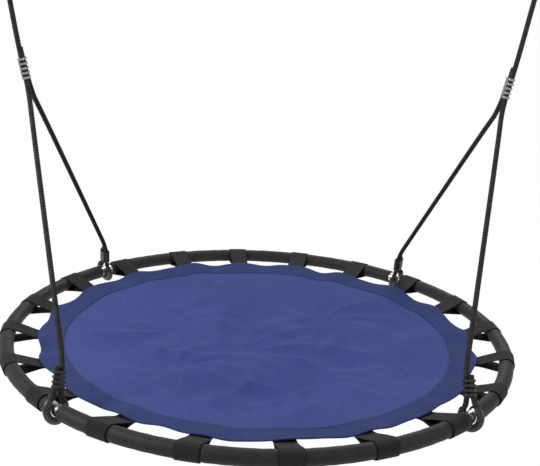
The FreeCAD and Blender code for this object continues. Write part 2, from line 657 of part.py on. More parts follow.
# ---------------------------------------------------------------- the whole swing
for index, seam in enumerate(SEAMS, start=1):
    frame_tube(index, seam)
    foam_sleeve(index, seam)
joint_screws()
panel_edge = "Sizes.mat_radius - Sizes.border_width"
keep(mat_piece("mat_panel", panel_edge), "seat_mat")
keep(mat_piece("mat_band", "Sizes.mat_radius", panel_edge + " + Sizes.seam_clearance"), "mat_border")
webbing = strap_shape()
strap_count = int(size("strap_count"))
for number in range(strap_count):
    heading = SEAMS[0] - size("strap_offset_deg") + number * 360 / strap_count
    turned = FreeCAD.Placement(V(0, 0, 0), FreeCAD.Rotation(UP, heading - strap_sweep() / 2))
    keep(feature(f"strap{number + 1}", webbing.copy(), turned), f"strap_{number + 1:02d}")
for hand, sign, slack in (("left", -1, size("eye_slack_left")), ("right", 1, size("eye_slack_right"))):
    bar_point, axis, outward = suspension(hand, sign, slack)
    print(f"bar_{hand}", [round(value, 3) for value in bar_point])
    carabiner(hand, bar_point, axis, outward)
    hanger(hand, sign)

doc.recompute()
for item in doc.Objects:
    if "Invalid" in item.State or "Error" in item.State:
        raise RuntimeError(f"{item.Name} failed: {item.State}")
for item in nodes:
    if item.Shape.isNull() or not item.Shape.isValid():
        raise RuntimeError(f"{item.Label} has no valid shape")

os.makedirs("parts", exist_ok=True)
for item in nodes:
    item.Shape.exportStep(f"parts/{item.Label}.step")
print(len(nodes), "nodes")
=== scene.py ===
"""Saucer nest swing: the looks. Everything is in metres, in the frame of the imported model."""
import math

import bpy
import numpy as np
from mathutils import Matrix, Vector


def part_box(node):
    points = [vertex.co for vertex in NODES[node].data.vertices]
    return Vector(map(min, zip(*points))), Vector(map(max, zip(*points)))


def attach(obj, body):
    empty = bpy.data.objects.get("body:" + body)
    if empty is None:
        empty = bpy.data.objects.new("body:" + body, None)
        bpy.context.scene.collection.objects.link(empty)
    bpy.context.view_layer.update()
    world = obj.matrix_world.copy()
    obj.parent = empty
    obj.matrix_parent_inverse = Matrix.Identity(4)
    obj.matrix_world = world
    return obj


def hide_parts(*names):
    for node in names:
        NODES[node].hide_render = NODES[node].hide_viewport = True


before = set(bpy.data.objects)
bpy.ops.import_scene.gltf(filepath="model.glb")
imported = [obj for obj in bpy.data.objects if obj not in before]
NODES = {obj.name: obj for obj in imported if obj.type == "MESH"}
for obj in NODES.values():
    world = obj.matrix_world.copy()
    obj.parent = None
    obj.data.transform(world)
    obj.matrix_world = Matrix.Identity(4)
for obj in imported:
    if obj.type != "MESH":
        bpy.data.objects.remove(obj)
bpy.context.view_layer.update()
MM = 0.001

# ------------------------------------------------------------------ sizes, worked out from the frame
TUBE_R = 0.011
RING_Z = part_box("frame_tube_1")[1][2] - TUBE_R
RING_R = 0.486
FOAM_R = 0.014
FOAM_INNER = 0.0112
FOAM_GAP = 0.0155
STRAP_COUNT = 20
STRAP_FIRST = math.radians(45 - 5.5)
STRAP_STEP = 2 * math.pi / STRAP_COUNT
STRAP_WIDTH = 0.040
STRAP_THICK = 0.0015
MAT_R = 0.430
BORDER_W = 0.050
MAT_SAG = 0.030
MAT_EDGE_Z = RING_Z - 0.002
MAT_THICK = 0.0012
BAND_RISE = 0.0009
ROPE_R = 0.005


# ------------------------------------------------------------------ mesh helpers
def new_object(name, mesh):
    item = bpy.data.objects.new(name, mesh)
    bpy.context.scene.collection.objects.link(item)
    return item


def grid_faces(rows, columns, wrap_rows=False, wrap_columns=False):
    """Quads of a grid of rows x columns vertices, numbered row by row."""
    row_span = np.arange(rows if wrap_rows else rows - 1)
    column_span = np.arange(columns if wrap_columns else columns - 1)
    first, second = np.meshgrid(row_span, column_span, indexing="ij")
    next_row = (first + 1) % rows
    next_column = (second + 1) % columns
    quads = np.stack([first * columns + second, first * columns + next_column,
                      next_row * columns + next_column, next_row * columns + second], axis=-1)
    return quads.reshape(-1, 4)


def mesh_object(name, points, quads, extra=(), smooth=True):
    """Object from an array of points, an array of quads and a list of other faces."""
    mesh = bpy.data.meshes.new(name)
    faces = quads.tolist() + [list(face) for face in extra]
    mesh.from_pydata(points.reshape(-1, 3).tolist(), [], faces)
    mesh.polygons.foreach_set("use_smooth", [smooth] * len(mesh.polygons))
    mesh.update()
    return new_object(name, mesh)


def add_modifier(item, kind, **settings):
    modifier = item.modifiers.new(kind.title(), kind)
    for key, value in settings.items():
        setattr(modifier, key, value)
    return modifier


def smooth_noise(angle, waves, seed):
    """Sum of a few sines round a circle, about -1 to 1, the same each run."""
    picks = np.random.default_rng(seed)
    total = np.zeros_like(angle)
    for wave in waves:
        total += picks.uniform(0.5, 1.0) * np.sin(wave * angle + picks.uniform(0, 2 * math.pi))
    return total / math.sqrt(len(waves))


# ------------------------------------------------------------------ materials
class Shader:
    """Short calls for building a material's nodes."""

    def __init__(self, name):
        self.material = bpy.data.materials.new(name)
        self.material.use_nodes = True
        self.tree = self.material.node_tree
        self.surface = self.tree.nodes["Principled BSDF"]
        self.place = self.tree.nodes.new("ShaderNodeTexCoord").outputs["Object"]

    def set(self, **values):
        for key, value in values.items():
            self.surface.inputs[key.replace("_", " ")].default_value = value

    def link(self, source, target):
        self.tree.links.new(source, target)

    def math(self, operation, *values):
        node = self.tree.nodes.new("ShaderNodeMath")
        node.operation = operation
        for index, value in enumerate(values):
            if isinstance(value, (int, float)):
                node.inputs[index].default_value = value
            else:
                self.link(value, node.inputs[index])
        return node.outputs[0]

    def noise(self, scale, detail=3.0, rough=0.55, stretch=None):
        node = self.tree.nodes.new("ShaderNodeTexNoise")
        node.inputs["Scale"].default_value = scale
        node.inputs["Detail"].default_value = detail
        node.inputs["Roughness"].default_value = rough
        if stretch is None:
            self.link(self.place, node.inputs["Vector"])
        else:
            mapping = self.tree.nodes.new("ShaderNodeMapping")
            mapping.inputs["Scale"].default_value = stretch
            self.link(self.place, mapping.inputs["Vector"])
            self.link(mapping.outputs[0], node.inputs["Vector"])
        return node.outputs["Fac"]

    def ramp(self, value, low, high, start=0.3, end=0.7):
        node = self.tree.nodes.new("ShaderNodeValToRGB")
        node.color_ramp.elements[0].position = start
        node.color_ramp.elements[0].color = (*low, 1)
        node.color_ramp.elements[1].position = end
        node.color_ramp.elements[1].color = (*high, 1)
        self.link(value, node.inputs[0])
        return node.outputs[0]

    def mix(self, factor, first, second, blend="MIX"):
        node = self.tree.nodes.new("ShaderNodeMix")
        node.data_type = "RGBA"
        node.blend_type = blend
        for value, socket in ((factor, node.inputs[0]), (first, node.inputs[6]), (second, node.inputs[7])):
            if isinstance(value, (int, float)):
                socket.default_value = value
            elif isinstance(value, tuple):
                socket.default_value = (*value, 1)
            else:
                self.link(value, socket)
        return node.outputs[2]

    def colour(self, source):
        self.link(source, self.surface.inputs["Base Color"])

    def roughness(self, value, low, high):
        node = self.tree.nodes.new("ShaderNodeMapRange")
        node.inputs["To Min"].default_value = low
        node.inputs["To Max"].default_value = high
        self.link(value, node.inputs["Value"])
        self.link(node.outputs[0], self.surface.inputs["Roughness"])

    def bump(self, *layers):
        """Layers of (height, distance in metres), finest last."""
        normal = None
        for height, distance in layers:
            node = self.tree.nodes.new("ShaderNodeBump")
            node.inputs["Distance"].default_value = distance
            self.link(height, node.inputs["Height"])
            if normal is not None:
                self.link(normal, node.inputs["Normal"])
            normal = node.outputs["Normal"]
        self.link(normal, self.surface.inputs["Normal"])

    def uv(self, name):
        node = self.tree.nodes.new("ShaderNodeUVMap")
        node.uv_map = name
        return node.outputs[0]

    def axes(self, vector):
        node = self.tree.nodes.new("ShaderNodeSeparateXYZ")
        self.link(vector, node.inputs[0])
        return node.outputs

    def sine(self, value, period):
        return self.math("SINE", self.math("MULTIPLY", value, 2 * math.pi / period))


WEAVE_PERIOD = 0.0016


def cloth_material(name, dark, light, gap_shade):
    """Plain woven polyester: thread grid with painted shade in the low spots between the threads, faint
    slubs, and broad shade changes.
    """
    shader = Shader(name)
    x, y, _ = shader.axes(shader.place)
    warp = shader.sine(x, WEAVE_PERIOD)
    weft = shader.sine(y, WEAVE_PERIOD)
    weave = shader.math("MULTIPLY", warp, weft)
    broad = shader.noise(4.0, 4.0, 0.6)
    slub = shader.noise(260.0, 2.0, 0.7, (1.0, 0.18, 1.0))
    base = shader.ramp(broad, dark, light)
    grain = shader.ramp(slub, (0.86, 0.86, 0.87), (1.1, 1.1, 1.09), 0.35, 0.65)
    base = shader.mix(1.0, base, grain, "MULTIPLY")
    # Painted shade: the low spots of the weave, where the bump sinks between the threads, are darkened
    # towards the third colour.
    thread = shader.ramp(shader.math("MULTIPLY_ADD", weave, 0.5, 0.5), gap_shade, (1.0, 1.0, 1.0), 0.0, 0.35)
    shader.colour(shader.mix(1.0, base, thread, "MULTIPLY"))
    shader.set(Sheen_Weight=0.05, Sheen_Roughness=0.45, Specular_IOR_Level=0.12)
    shader.surface.inputs["Sheen Tint"].default_value = (0.62, 0.68, 1.0, 1)
    shader.roughness(slub, 0.62, 0.82)
    shader.bump((broad, 0.0008), (slub, 0.00012), (weave, 0.00016))
    return shader.material


def foam_material():
    shader = Shader("foam_skin")
    pores = shader.noise(1500.0, 2.0, 0.5)
    skin = shader.noise(90.0, 4.0, 0.6)
    shader.colour(shader.ramp(skin, (0.010, 0.0098, 0.0096), (0.019, 0.0185, 0.018)))
    shader.set(Sheen_Weight=0.02, Sheen_Roughness=0.5, Specular_IOR_Level=0.26)
    shader.roughness(pores, 0.48, 0.7)
    shader.bump((skin, 0.0004), (pores, 0.00018))
    return shader.material


def webbing_material():
    """Flat webbing: fine cross threads between the moulded ribs."""
    shader = Shader("webbing_weave")
    along, across, _ = shader.axes(shader.uv("strap"))
    picks = shader.sine(along, 0.0014)
    ribs = shader.sine(across, 0.0028)
    twill = shader.math("MULTIPLY", picks, ribs)
    fuzz = shader.noise(500.0, 3.0, 0.6)
    shader.colour(shader.ramp(fuzz, (0.005, 0.005, 0.0055), (0.015, 0.015, 0.016)))
    shader.set(Sheen_Weight=0.03, Sheen_Roughness=0.4, Specular_IOR_Level=0.2)
    shader.roughness(fuzz, 0.5, 0.72)
    shader.bump((twill, 0.00025), (fuzz, 0.0001))
    return shader.material


def rope_material():
    shader = Shader("rope_braid")
    fibre = shader.noise(1400.0, 3.0, 0.6)
    patch = shader.noise(120.0, 3.0, 0.5)
    shade = shader.ramp(patch, (0.010, 0.0095, 0.009), (0.030, 0.028, 0.025))
    shader.colour(shader.mix(1.0, shade, shader.ramp(fibre, (0.6, 0.6, 0.6), (1.5, 1.48, 1.42)), "MULTIPLY"))
    shader.set(Sheen_Weight=0.03, Sheen_Roughness=0.4, Specular_IOR_Level=0.2)
    shader.roughness(fibre, 0.5, 0.8)
    shader.bump((fibre, 0.00015),)
    return shader.material


def metal_material(name, dark, light, rough, scratch=0.00006, metallic=1.0):
    shader = Shader(name)
    brushed = shader.noise(220.0, 4.0, 0.7, (1.0, 1.0, 0.12))
    cloud = shader.noise(45.0, 3.0, 0.5)
    shader.colour(shader.mix(0.5, shader.ramp(brushed, dark, light), shader.ramp(cloud, dark, light)))
    shader.set(Metallic=metallic)
    shader.roughness(brushed, rough - 0.08, rough + 0.1)
    shader.bump((cloud, 2 * scratch), (brushed, scratch))
    return shader.material


def rubber_material(name, dark, light, rough):
    shader = Shader(name)
    film = shader.noise(160.0, 3.0, 0.5)
    dust = shader.noise(38.0, 4.0, 0.6)
    shader.colour(shader.ramp(dust, dark, light))
    shader.set(Specular_IOR_Level=0.5)
    shader.roughness(film, rough, rough + 0.15)
    shader.bump((film, 0.0001),)
    return shader.material


# The third colour of each cloth is painted shade for the low spots between the threads.
MAT_CLOTH = cloth_material("mat_weave", (0.032, 0.050, 0.205), (0.046, 0.068, 0.245), (0.80, 0.80, 0.82))
BAND_CLOTH = cloth_material("band_weave", (0.016, 0.030, 0.122), (0.025, 0.043, 0.152), (0.78, 0.78, 0.80))
THREAD = rubber_material("thread_navy", (0.018, 0.028, 0.09), (0.03, 0.045, 0.13), 0.6)
FOAM = foam_material()
WEBBING = webbing_material()
ROPE = rope_material()
HOSE = rubber_material("hose_black", (0.012, 0.012, 0.012), (0.024, 0.024, 0.024), 0.32)
TUBE_STEEL = metal_material("tube_steel", (0.62, 0.63, 0.62), (0.8, 0.81, 0.8), 0.3)
SCREW_STEEL = metal_material("screw_steel", (0.5, 0.5, 0.5), (0.66, 0.66, 0.66), 0.3)
ZINC = metal_material("zinc_plate", (0.5, 0.5, 0.51), (0.68, 0.68, 0.69), 0.28)
HANGER_STEEL = metal_material("hanger_steel", (0.46, 0.46, 0.47), (0.62, 0.62, 0.63), 0.36)
CLAMP_ZINC = metal_material("clamp_zinc", (0.24, 0.24, 0.25), (0.42, 0.42, 0.43), 0.34)
CLAMP_BLACK = metal_material("clamp_black", (0.014, 0.014, 0.014), (0.03, 0.03, 0.03), 0.36, metallic=0.0)


def finish_cad(prefixes, material, bevel=None):
    """Gives CAD nodes their material, and softens their edges where a bevel is asked for."""
    for name, item in NODES.items():
        if not name.startswith(prefixes):
            continue
        item.data.materials.clear()
        item.data.materials.append(material)
        if bevel is not None:
            add_modifier(item, "BEVEL", width=bevel, segments=2, limit_method="ANGLE",
                         angle_limit=math.radians(35), harden_normals=False)


finish_cad(("frame_tube",), TUBE_STEEL)
finish_cad(("joint_screws",), SCREW_STEEL, 0.0005)
finish_cad(("lower_hose", "top_hose"), HOSE)
finish_cad(("fork_clamp",), CLAMP_ZINC, 0.0006)
finish_cad(("lower_clamp", "top_clamp"), CLAMP_BLACK, 0.0006)
finish_cad(("carabiner", "gate"), ZINC, 0.0004)
finish_cad(("hanger",), HANGER_STEEL, 0.0008)


# ------------------------------------------------------------------ camera
RING_CENTRE = Vector((0, 0, RING_Z))
OBJECT_TURN = math.radians(-3.4)
CAMERA_DISTANCE = 1.87781
CAMERA_ELEVATION = 0.39868
LOOK_PITCH = 0.29260
LOOK_PAN = 0.00821
LOOK_ROLL = 0.05063
LENS = 62.07


def add_camera():
    """Camera a little above the seat, in front of it, looking slightly down."""
    turn = Matrix.Rotation(OBJECT_TURN, 3, "Z")
    place = turn @ Vector((0, -CAMERA_DISTANCE * math.cos(CAMERA_ELEVATION),
                           CAMERA_DISTANCE * math.sin(CAMERA_ELEVATION)))
    ahead = turn @ Vector((math.sin(LOOK_PAN) * math.cos(LOOK_PITCH),
                           math.cos(LOOK_PAN) * math.cos(LOOK_PITCH), -math.sin(LOOK_PITCH)))
    right = ahead.cross(Vector((0, 0, 1))).normalized()
    up = right.cross(ahead)
    rolled_right = right * math.cos(LOOK_ROLL) + up * math.sin(LOOK_ROLL)
    rolled_up = up * math.cos(LOOK_ROLL) - right * math.sin(LOOK_ROLL)
    data = bpy.data.cameras.new("camera")
    data.lens = LENS
    data.sensor_width = 36
    data.sensor_fit = "HORIZONTAL"
    data.clip_start = 0.05
    camera = bpy.data.objects.new("camera", data)
    bpy.context.scene.collection.objects.link(camera)
    basis = Matrix((rolled_right, rolled_up, -ahead)).transposed().to_4x4()
    camera.matrix_world = Matrix.Translation(RING_CENTRE + place) @ basis
    bpy.context.scene.camera = camera


add_camera()


# ------------------------------------------------------------------ ropes
def evaluated_spline(name, points):
    """Points read from a NURBS spline through the route, with no bevel."""
    data = bpy.data.curves.new(name, "CURVE")
    data.dimensions = "3D"
    spline = data.splines.new("NURBS")
    spline.points.add(len(points) - 1)
    for item, point in zip(spline.points, points):
        item.co = (*point, 1)
    spline.order_u = 3
    spline.use_endpoint_u = True
    spline.resolution_u = 24
    curve = new_object(name, data)
    bpy.context.view_layer.update()
    mesh = bpy.data.meshes.new_from_object(curve.evaluated_get(bpy.context.evaluated_depsgraph_get()))
    line = np.array([vertex.co[:] for vertex in mesh.vertices])
    bpy.data.objects.remove(curve)
    bpy.data.meshes.remove(mesh)
    return line


def resample(line, step):
    lengths = np.concatenate([[0], np.cumsum(np.linalg.norm(np.diff(line, axis=0), axis=1))])
    count = max(3, int(round(lengths[-1] / step)) + 1)
    marks = np.linspace(0, lengths[-1], count)
    return np.stack([np.interp(marks, lengths, line[:, axis]) for axis in range(3)], axis=1), marks


def carried_frames(line):
    """Side directions carried along a line without twist."""
    ahead = np.gradient(line, axis=0)
    ahead /= np.linalg.norm(ahead, axis=1)[:, None]
    first = np.cross(ahead[0], (0.3, 0.5, 0.81))
    side = first / np.linalg.norm(first)
    sides = [side]
    for direction in ahead[1:]:
        side = side - direction * side.dot(direction)
        side = side / np.linalg.norm(side)
        sides.append(side)
    sides = np.array(sides)
    return ahead, sides, np.cross(ahead, sides)


BRAID_STRANDS = 6
BRAID_CELL = 0.0054
BRAID_RELIEF = 0.0011
MELTED_END = 0.0022       # rounded length at a cut end
ROPE_STEP = 0.0008
ROPE_SEGMENTS = 40


def braid_height(angle, distance):
    """Height, 0 to 1, of a plain braid: two families of strands that pass over and under each other."""
    turns = angle * BRAID_STRANDS / (2 * math.pi)
    climb = distance / BRAID_CELL
    first = turns + climb
    second = turns - climb
    first_off = first - np.floor(first) - 0.5
    second_off = second - np.floor(second) - 0.5
    over = np.where((np.floor(first) + np.floor(second)) % 2 == 0, 1.0, -1.0)
    first_high = np.cos(math.pi * first_off) * (0.55 + 0.45 * over * np.cos(math.pi * second_off))
    second_high = np.cos(math.pi * second_off) * (0.55 - 0.45 * over * np.cos(math.pi * first_off))
    return np.maximum(first_high, second_high)


def braided_rope(name, points, body):
    line, marks = resample(evaluated_spline(name + "_route", points), ROPE_STEP)
    _, sides, ups = carried_frames(line)
    angle = np.arange(ROPE_SEGMENTS) * 2 * math.pi / ROPE_SEGMENTS
    grid_angle, grid_mark = np.meshgrid(angle, marks)
    radius = ROPE_R - BRAID_RELIEF + BRAID_RELIEF * braid_height(grid_angle, grid_mark)
    end = np.minimum(marks, marks[-1] - marks)
    melt = np.clip(end / MELTED_END, 0, 1)
    radius = radius * (0.62 + 0.38 * np.sqrt(1 - (1 - melt) ** 2))[:, None]
    points3 = (line[:, None, :] + sides[:, None, :] * (radius * np.cos(grid_angle))[..., None]
               + ups[:, None, :] * (radius * np.sin(grid_angle))[..., None])
    rows, columns = radius.shape
    caps = [list(range(columns))[::-1], list(range((rows - 1) * columns, rows * columns))]
    rope = mesh_object(name + "_braid", points3, grid_faces(rows, columns, wrap_columns=True), caps)
    rope.data.materials.append(ROPE)
    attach(rope, body)
    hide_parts(name)
    return rope


# The front half of a lower loop, from the cut end to the leg, in millimetres, on the right-hand side.
# The back one is the same with Y turned round.
LOWER_LOOP = [(343.9, -318.2, -804.4), (346.1, -337.8, -847.6), (357.0, -354.9, -858.0),
              (355.5, -360.2, -876.0), (344.6, -352.4, -889.3), (333.0, -337.7, -887.4),
              (329.8, -327.7, -871.8), (339.1, -330.8, -851.2), (336.7, -309.5, -804.4)]
LEG = [(350.6, -269.0, -750.0), (427.0, -48.0, -452.0), (440.2, -5.3, -402.0)]
MAIN_UP = [(454.3, -5.3, -333.6), (464.6, -3.5, -276.0), (473.8, -1.5, -220.0), (484.0, 0.0, -163.2)]
TOP_EYES = {
    "left": [(496.4, 0.0, -102.9), (485.5, 0.0, -83.7), (492.6, 0.0, -66.9), (510.2, 0.0, -62.3),
             (524.6, 0.0, -73.5), (524.5, 0.0, -91.7), (506.8, 0.0, -105.1), (495.2, 0.0, -161.4)],
    "right": [(496.6, 0.0, -102.3), (485.6, 0.0, -83.0), (492.7, 0.0, -66.2), (510.4, 0.0, -61.6),
              (524.8, 0.0, -72.8), (524.6, 0.0, -91.1), (506.9, 0.0, -104.5), (495.3, 0.0, -160.8)]}
BRANCH_TAIL = [(455.9, -5.3, -325.8)]


def side_points(hand, points, back=False):
    mirror_x = -1 if hand == "left" else 1
    mirror_y = -1 if back else 1
    return [(mirror_x * x * MM, mirror_y * y * MM, z * MM) for x, y, z in points]


for hand in ("left", "right"):
    body = f"suspension_{hand}"
    main = side_points(hand, LOWER_LOOP + LEG + MAIN_UP + TOP_EYES[hand])
    branch = side_points(hand, LOWER_LOOP + LEG + BRANCH_TAIL, back=True)
    braided_rope(f"main_rope_{hand}", main, body)
    braided_rope(f"branch_rope_{hand}", branch, body)


# ------------------------------------------------------------------ mat
DISH_R = (MAT_R ** 2 + MAT_SAG ** 2) / (2 * MAT_SAG)
PANEL_R = MAT_R - BORDER_W
HEM = 0.004               # panel cloth tucked under the border


def pull(angle):
    """1 where a strap pulls the mat's edge, 0 half way between two straps."""
    return 0.5 + 0.5 * np.cos((angle - STRAP_FIRST) * STRAP_COUNT)


def edge_radius(angle):
    scallop = 0.007 + 0.002 * smooth_noise(angle, (2, 3, 7), 17)
    return MAT_R - scallop * (1 - pull(angle)) ** 1.5 + 0.0025 * smooth_noise(angle, (3, 5, 8, 11), 3)


# Soft star-shaped folds: centre x, centre y, reach, height, seed
FOLD_STARS = ((-0.03, -0.04, 0.16, 0.0105, 9), (-0.17, 0.10, 0.12, 0.0062, 31), (0.15, 0.12, 0.11, 0.0058, 8),
              (0.10, -0.17, 0.12, 0.0058, 14), (-0.16, -0.13, 0.11, 0.0056, 22))


def mat_top(radius, angle):
    """Height of the mat's upper face: the sag, tension lines to the straps, hem waves and wrinkles."""
    share = radius / MAT_R
    height = MAT_EDGE_Z - MAT_SAG + DISH_R - np.sqrt(DISH_R ** 2 - radius ** 2)
    outer = np.clip((share - 0.55) / 0.45, 0, 1)
    height += 0.0040 * outer ** 2 * (pull(angle) - 0.5)
    height += 0.0032 * outer ** 3 * smooth_noise(angle, (11, 17, 23, 31, 37), 5)
    x, y = radius * np.cos(angle), radius * np.sin(angle)
    for centre_x, centre_y, spread, rise, seed in FOLD_STARS:
        away = np.hypot(x - centre_x, y - centre_y)
        heading = np.arctan2(y - centre_y, x - centre_x)
        rays = 0.6 - np.sqrt(smooth_noise(heading + 0.5 * away / spread, (2, 3, 5, 6), seed) ** 2 + 0.004)
        ring = (away / spread) ** 2 * np.exp(1 - (away / spread) ** 2)
        height += rise * ring * rays * (1 - outer ** 2)
    long_folds = smooth_noise(angle + 0.3 * np.sin(4 * share), (4, 6, 10, 15), 12)
    height += 0.0034 * np.sin(math.pi * np.clip(share, 0, 1)) * share * long_folds
    return height


def ring_sheet(name, inner, rows, columns, top_of, thick, material):
    """Closed cloth ring out to the mat's scalloped edge: two faces joined by a rounded edge."""
    angle = np.arange(columns) * 2 * math.pi / columns
    shares = np.linspace(0, 1, rows)
    radius = inner + (edge_radius(angle) - inner)[None, :] * shares[:, None]
    grid_angle = np.broadcast_to(angle, radius.shape)
    top = top_of(radius, grid_angle)
    layers = []
    for part_radius, height in (
            (radius, top), (radius[-1:] + 0.5 * thick, top[-1:] - 0.5 * thick),
            (radius[::-1], top[::-1] - thick)):
        part_angle = np.broadcast_to(angle, part_radius.shape)
        layers.append(np.stack([part_radius * np.cos(part_angle), part_radius * np.sin(part_angle), height],
                               axis=-1))
    points = np.concatenate(layers)
    total = points.shape[0]
    quads = grid_faces(total, columns, wrap_rows=True, wrap_columns=True)
    item = mesh_object(name, points, quads)
    item.data.materials.append(material)
    return item


def band_top(radius, angle):
    return mat_top(radius, angle) + BAND_RISE


def disc_sheet(name, outer, rows, columns, top_of, thick, material):
    """Closed cloth disc with a point in the middle of each face."""
    angle = np.arange(columns) * 2 * math.pi / columns
    radii = np.linspace(0, outer, rows)[1:]
    radius = np.broadcast_to(radii[:, None], (rows - 1, columns))
    grid_angle = np.broadcast_to(angle, radius.shape)
    top = top_of(radius, grid_angle)
    flat = np.stack([radius * np.cos(grid_angle), radius * np.sin(grid_angle)], axis=-1)
    upper = np.concatenate([flat, top[..., None]], axis=-1)
    lower = np.concatenate([flat, (top - thick)[..., None]], axis=-1)[::-1]
    middle = float(np.mean(top[0]))
    points = np.concatenate([upper.reshape(-1, 3), lower.reshape(-1, 3),
                             [[0, 0, middle], [0, 0, middle - thick]]])
    quads = grid_faces(2 * (rows - 1), columns, wrap_columns=True)
    last = 2 * (rows - 1) * columns
    fans = []
    for index in range(columns):
        following = (index + 1) % columns
        fans.append((last, following, index))
        low = (2 * rows - 3) * columns
        fans.append((last + 1, low + index, low + following))
    item = mesh_object(name, points, quads, fans)
    item.data.materials.append(material)
    return item


def stitch_row(points, ahead, up, length, radius):
    """One rounded stitch per point, lying along its own direction."""
    ring = np.arange(6) * math.pi / 3
    stations = np.array([-0.5, -0.32, 0.0, 0.32, 0.5]) * length
    fat = np.array([0.25, 0.85, 1.0, 0.85, 0.25]) * radius
    side = np.cross(up, ahead)
    along = ahead[:, None, None, :] * stations[None, :, None, None]
    across = side[:, None, None, :] * (fat[:, None] * np.cos(ring))[None, :, :, None]
    rise = up[:, None, None, :] * (0.8 * fat[:, None] * np.sin(ring))[None, :, :, None]
    places = points[:, None, None, :] + along + across + rise
    one = grid_faces(5, 6, wrap_columns=True)
    caps = [list(range(6))[::-1], list(range(24, 30))]
    count = len(points)
    quads = (one[None] + (np.arange(count) * 30)[:, None, None]).reshape(-1, 4)
    extra = [[index + 30 * number for index in cap] for number in range(count) for cap in caps]
    return places.reshape(-1, 3), quads, extra


ROW_PITCH = 0.0042
BOX_PITCH = 0.0036
STITCH_LENGTH = 0.0031
STITCH_R = 0.00042


def mat_stitching():
    """Three rows of stitches round the border band, and a stitched box over each strap's tail."""
    spots = []
    aheads = []

    def add(radius, angle, turn):
        height = band_top(np.array([radius]), np.array([angle]))[0] + 0.00015
        spots.append((radius * math.cos(angle), radius * math.sin(angle), height))
        aheads.append((math.cos(angle + turn), math.sin(angle + turn), 0))

    for radius in (PANEL_R + HEM, PANEL_R + 0.0085, MAT_R - 0.012):
        count = int(2 * math.pi * radius / ROW_PITCH)
        for index in range(count):
            add(radius, 2 * math.pi * index / count, math.pi / 2)
    inner, outer, half = MAT_R - 0.036, MAT_R - 0.015, 0.015
    diagonal = math.atan2(2 * half, outer - inner)
    for strap in range(STRAP_COUNT):
        heading = STRAP_FIRST + strap * STRAP_STEP
        for radius in (inner, outer):
            for offset in np.arange(-half, half + 0.001, BOX_PITCH):
                add(radius, heading + offset / radius, math.pi / 2)
        for edge in (-half, half):
            for radius in np.arange(inner + 0.002, outer, BOX_PITCH):
                add(radius, heading + edge / radius, 0.0)
        for way in (-1, 1):
            for share in np.linspace(0.06, 0.94, 9):
                radius = inner + (outer - inner) * share
                add(radius, heading + way * half * (2 * share - 1) / radius, way * diagonal)
    ups = np.tile((0.0, 0.0, 1.0), (len(spots), 1))
    places, quads, extra = stitch_row(np.array(spots), np.array(aheads), ups, STITCH_LENGTH, STITCH_R)
    item = mesh_object("mat_stitching", places, quads, extra)
    item.data.materials.append(THREAD)
    return item


panel = disc_sheet("seat_mat_cloth", PANEL_R + HEM, 150, 480, mat_top, MAT_THICK, MAT_CLOTH)
band = ring_sheet("mat_border_cloth", PANEL_R, 26, 960, band_top, MAT_THICK + 2 * BAND_RISE, BAND_CLOTH)
stitching = mat_stitching()
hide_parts("seat_mat")
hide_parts("mat_border")
for item in (panel, band, stitching):
    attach(item, "seat")


# ------------------------------------------------------------------ foam sleeves
def strap_distance(angle):
    """Distance along the ring to the middle of the nearest strap."""
    off = (angle - STRAP_FIRST + STRAP_STEP / 2) % STRAP_STEP - STRAP_STEP / 2
    return np.abs(off) * RING_R


STRAP_BITE = 0.0009        # foam pressed in below a strap
FOAM_LUMPS = 0.00022
END_ROUNDING = 0.0012


def foam_sleeve(index):
    start = math.radians(45 + 90 * (index - 1)) + FOAM_GAP / RING_R
    sweep = math.pi / 2 - 2 * FOAM_GAP / RING_R
    rows, columns = 420, 48
    along = np.linspace(0, 1, rows)
    angle = start + sweep * along
    squeeze = STRAP_BITE / (1 + np.exp((strap_distance(angle) - STRAP_WIDTH / 2) / 0.0012))
    lumps = FOAM_LUMPS * smooth_noise(angle * 4, (9, 14, 23, 31), 40 + index)
    end = np.minimum(along, 1 - along) * sweep * RING_R
    rounding = END_ROUNDING * np.clip(1 - end / END_ROUNDING, 0, 1) ** 2
    radius = FOAM_R - squeeze + lumps - rounding
    turn = np.arange(columns) * 2 * math.pi / columns
    rows_list = list(zip(angle, radius))
    rows_list += [(place, FOAM_INNER) for place in np.linspace(angle[-1], angle[0], 90)]
    heading = np.array([item[0] for item in rows_list])[:, None]
    reach = np.array([item[1] for item in rows_list])[:, None]
    out = RING_R + reach * np.cos(turn)[None, :]
    height = RING_Z + reach * np.sin(turn)[None, :]
    points = np.stack([out * np.cos(heading), out * np.sin(heading), height], axis=-1)
    quads = grid_faces(len(rows_list), columns, wrap_rows=True, wrap_columns=True)[:, ::-1]
    sleeve = mesh_object(f"foam_cover_{index}", points, quads)
    sleeve.data.materials.append(FOAM)
    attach(sleeve, "seat")
    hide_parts(f"foam_sleeve_{index}")


for index in range(1, 5):
    foam_sleeve(index)


# ------------------------------------------------------------------ straps
STRAP_GAP = 0.0003
WRAP_R = FOAM_R + STRAP_GAP + STRAP_THICK / 2
TAIL_LENGTH = 0.037


